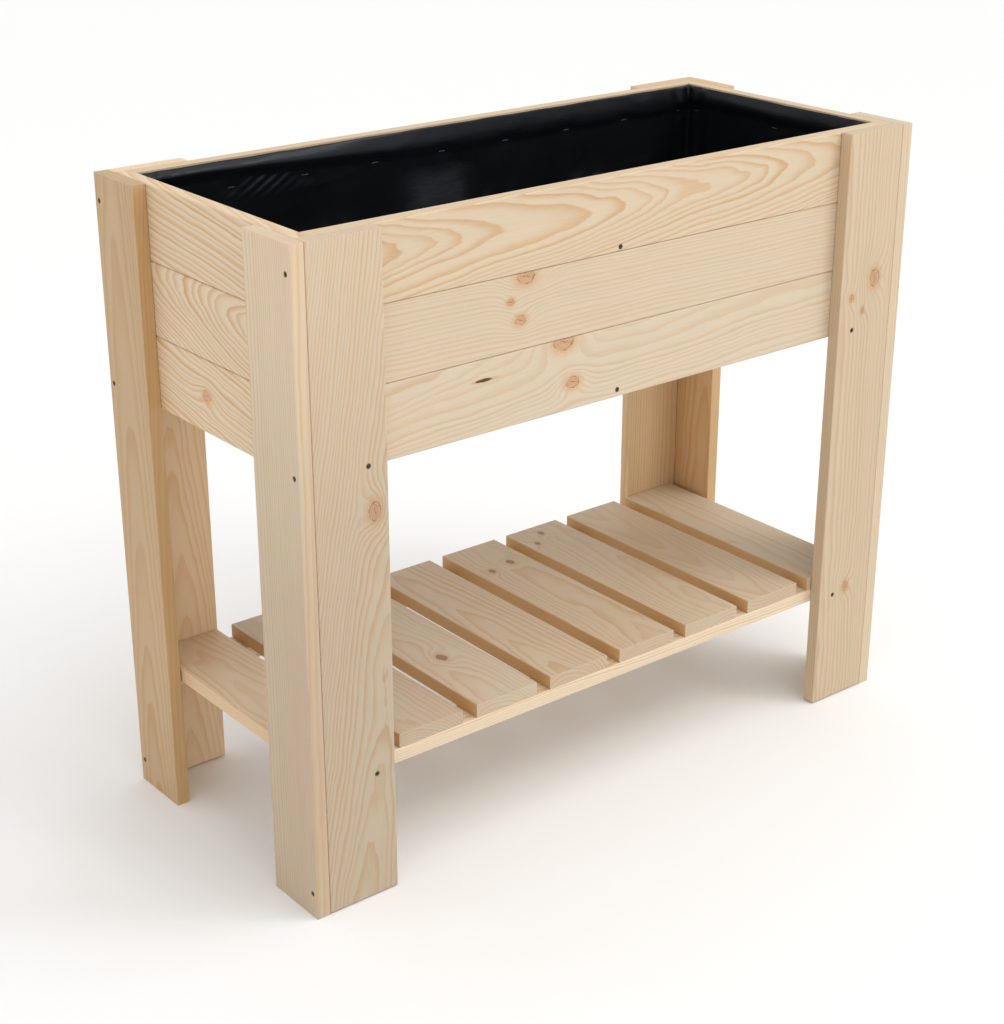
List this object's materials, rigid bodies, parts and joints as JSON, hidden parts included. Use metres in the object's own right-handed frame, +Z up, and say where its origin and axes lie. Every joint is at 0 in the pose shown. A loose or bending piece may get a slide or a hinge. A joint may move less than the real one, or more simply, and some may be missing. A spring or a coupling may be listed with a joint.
{
  "type": "raised planter on legs",
  "caption": "Raised wooden planter: a lined box of tongued and grooved boards on four L-shaped board legs, with a slatted shelf below.",
  "frame": {"origin": "on the ground, under the middle of the planter", "axes": "+Z up, +X along the length, +Y towards the back; the front is -Y"},
  "size_m": [1, 0.434, 0.848],
  "materials": {
    "leg_wood": "planed, untreated pine",
    "wall_wood": "planed, untreated pine",
    "shelf_wood": "planed, untreated pine",
    "hidden_wood": "planed, untreated pine",
    "liner_film": "glossy black film",
    "screw_steel": "dull zinc",
    "staple_wire": "galvanised wire"
  },
  "bodies": {
    "root": {"back_floor_bearer": "hidden_wood", "back_left_leg_end_board": "leg_wood", "back_left_leg_face_board": "leg_wood", "back_right_leg_end_board": "leg_wood", "back_right_leg_face_board": "leg_wood", "back_shelf_rail": "hidden_wood", "back_wall_batten": "hidden_wood", "back_wall_bottom_board": "wall_wood", "back_wall_middle_board": "wall_wood", "back_wall_top_board": "wall_wood", "end_wall_screws": "screw_steel", "floor_board_1": "hidden_wood", "floor_board_2": "hidden_wood", "floor_board_3": "hidden_wood", "floor_board_4": "hidden_wood", "floor_board_5": "hidden_wood", "floor_board_6": "hidden_wood", "floor_board_7": "hidden_wood", "floor_board_8": "hidden_wood", "floor_board_9": "hidden_wood", "floor_screws": "screw_steel", "frame_screws": "screw_steel", "front_floor_bearer": "hidden_wood", "front_left_leg_end_board": "leg_wood", "front_left_leg_face_board": "leg_wood", "front_right_leg_end_board": "leg_wood", "front_right_leg_face_board": "leg_wood", "front_shelf_rail": "hidden_wood", "front_wall_batten": "hidden_wood", "front_wall_bottom_board": "wall_wood", "front_wall_middle_board": "wall_wood", "front_wall_top_board": "wall_wood", "left_wall_bottom_board": "wall_wood", "left_wall_middle_board": "wall_wood", "left_wall_top_board": "wall_wood", "leg_joint_screws": "screw_steel", "liner": "liner_film", "liner_staples": "staple_wire", "long_wall_screws": "screw_steel", "right_wall_bottom_board": "wall_wood", "right_wall_middle_board": "wall_wood", "right_wall_top_board": "wall_wood", "shelf_screws": "screw_steel", "shelf_slat_1": "shelf_wood", "shelf_slat_2": "shelf_wood", "shelf_slat_3": "shelf_wood", "shelf_slat_4": "shelf_wood", "shelf_slat_5": "shelf_wood", "shelf_slat_6": "shelf_wood", "shelf_slat_7": "shelf_wood", "shelf_slat_8": "shelf_wood", "wall_middle_screws": "screw_steel"}
  },
  "joints": []
}
